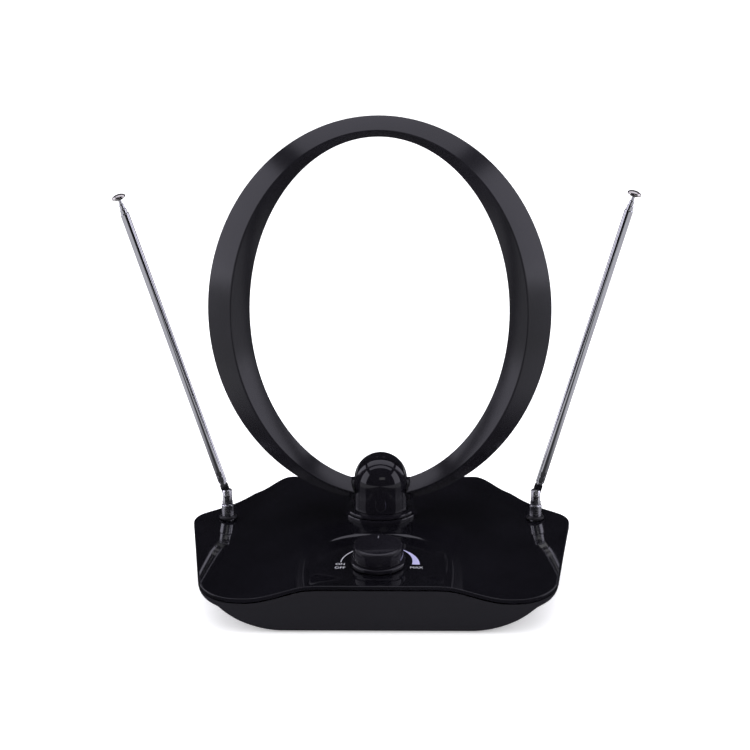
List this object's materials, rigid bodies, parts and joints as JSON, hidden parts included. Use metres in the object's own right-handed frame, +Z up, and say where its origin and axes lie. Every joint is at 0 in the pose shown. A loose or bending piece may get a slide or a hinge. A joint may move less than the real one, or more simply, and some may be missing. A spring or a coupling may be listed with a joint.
{
  "type": "indoor television antenna",
  "caption": "Amplified indoor television antenna with telescopic rods, a swivelling and tilting oval loop, and a weighted base with a gain knob.",
  "frame": {"origin": "middle of the whole object's footprint, on the table under the feet", "axes": "+Z up, -Y is the front with the gain knob, +X to the viewer's right"},
  "size_m": [0.3206, 0.168, 0.2886],
  "materials": {
    "gloss_black": "piano-black moulded plastic, polished",
    "satin_black": "black moulded plastic, lightly polished",
    "chrome": "bright chrome plate with fine drawing lines",
    "nickel": "nickel plate",
    "steel": "zinc-plated steel",
    "brass": "drawn",
    "rubber": "matt, moulded",
    "circuit_board": "solder resist on glass laminate",
    "wire_insulation": "extruded sleeve"
  },
  "bodies": {
    "base": {"top_cover": "gloss_black", "bottom_tub": "satin_black", "foot_front_left": "rubber", "foot_front_right": "rubber", "foot_back_left": "rubber", "foot_back_right": "rubber", "case_screw_front_left": "steel", "case_screw_front_right": "steel", "case_screw_back_left": "steel", "case_screw_back_right": "steel", "ballast_plate": "steel", "amplifier_board": "circuit_board", "shield_can": "nickel", "coax_socket": "nickel", "coax_nut": "nickel", "power_socket": "satin_black", "gain_potentiometer": "nickel", "pot_nut": "nickel", "post_boss": "gloss_black", "left_collar": "satin_black", "left_ferrule": "chrome", "left_lead": "wire_insulation", "right_collar": "satin_black", "right_ferrule": "chrome", "right_lead": "wire_insulation"},
    "post": {"post_turntable": "gloss_black", "hood_back": "gloss_black", "hood_front": "gloss_black", "wave_washer": "steel", "retaining_clip": "steel"},
    "loop": {"loop_front_shell": "gloss_black", "loop_back_shell": "gloss_black", "loop_conductor": "brass", "loop_hub": "satin_black"},
    "knob": {"gain_knob": "gloss_black", "pot_shaft": "nickel"},
    "left_foot": {"left_fork": "chrome", "left_rivet": "chrome", "left_stem_nut": "nickel"},
    "left_rod": {"left_rod_root": "nickel", "left_tube_1": "chrome"},
    "left_section_2": {"left_tube_2": "chrome"},
    "left_section_3": {"left_tube_3": "chrome"},
    "left_tip": {"left_tip_rod": "chrome", "left_tip_button": "chrome"},
    "right_foot": {"right_fork": "chrome", "right_rivet": "chrome", "right_stem_nut": "nickel"},
    "right_rod": {"right_rod_root": "nickel", "right_tube_1": "chrome"},
    "right_section_2": {"right_tube_2": "chrome"},
    "right_section_3": {"right_tube_3": "chrome"},
    "right_tip": {"right_tip_rod": "chrome", "right_tip_button": "chrome"}
  },
  "joints": [
    {"name": "loop_swivel", "type": "hinge", "parent": "base", "child": "post", "pos_m": [0, 0.019, 0.041], "axis": [0, 0, 1], "range_deg": [-90, 90]},
    {"name": "loop_tilt", "type": "hinge", "parent": "post", "child": "loop", "pos_m": [0, 0.019, 0.0536], "axis": [1, 0, 0], "range_deg": [-30, 30]},
    {"name": "gain_turn", "type": "hinge", "parent": "base", "child": "knob", "pos_m": [0, -0.0514, 0.03146], "axis": [0, 0.0936, -0.9956], "range_deg": [-110, 110]},
    {"name": "left_swivel", "type": "hinge", "parent": "base", "child": "left_foot", "pos_m": [-0.0975, 0.026, 0.04], "axis": [0, 0, -1], "range_deg": [-90, 90]},
    {"name": "left_tilt", "type": "hinge", "parent": "left_foot", "child": "left_rod", "pos_m": [-0.0975, 0.026, 0.04745], "axis": [0, -1, 0], "range_deg": [-9.6, 72.4]},
    {"name": "left_slide_2", "type": "slide", "parent": "left_rod", "child": "left_section_2", "axis": [-0.3024, 0, 0.9532], "range_m": [0, 0.15]},
    {"name": "left_slide_3", "type": "slide", "parent": "left_section_2", "child": "left_section_3", "axis": [-0.3024, 0, 0.9532], "range_m": [0, 0.15]},
    {"name": "left_slide_tip", "type": "slide", "parent": "left_section_3", "child": "left_tip", "axis": [-0.3024, 0, 0.9532], "range_m": [0, 0.15]},
    {"name": "right_swivel", "type": "hinge", "parent": "base", "child": "right_foot", "pos_m": [0.0975, 0.026, 0.04], "axis": [0, 0, 1], "range_deg": [-90, 90]},
    {"name": "right_tilt", "type": "hinge", "parent": "right_foot", "child": "right_rod", "pos_m": [0.0975, 0.026, 0.04745], "axis": [0, 1, 0], "range_deg": [-8.4, 73.6]},
    {"name": "right_slide_2", "type": "slide", "parent": "right_rod", "child": "right_section_2", "axis": [0.2823, 0, 0.9593], "range_m": [0, 0.15]},
    {"name": "right_slide_3", "type": "slide", "parent": "right_section_2", "child": "right_section_3", "axis": [0.2823, 0, 0.9593], "range_m": [0, 0.15]},
    {"name": "right_slide_tip", "type": "slide", "parent": "right_section_3", "child": "right_tip", "axis": [0.2823, 0, 0.9593], "range_m": [0, 0.15]}
  ]
}
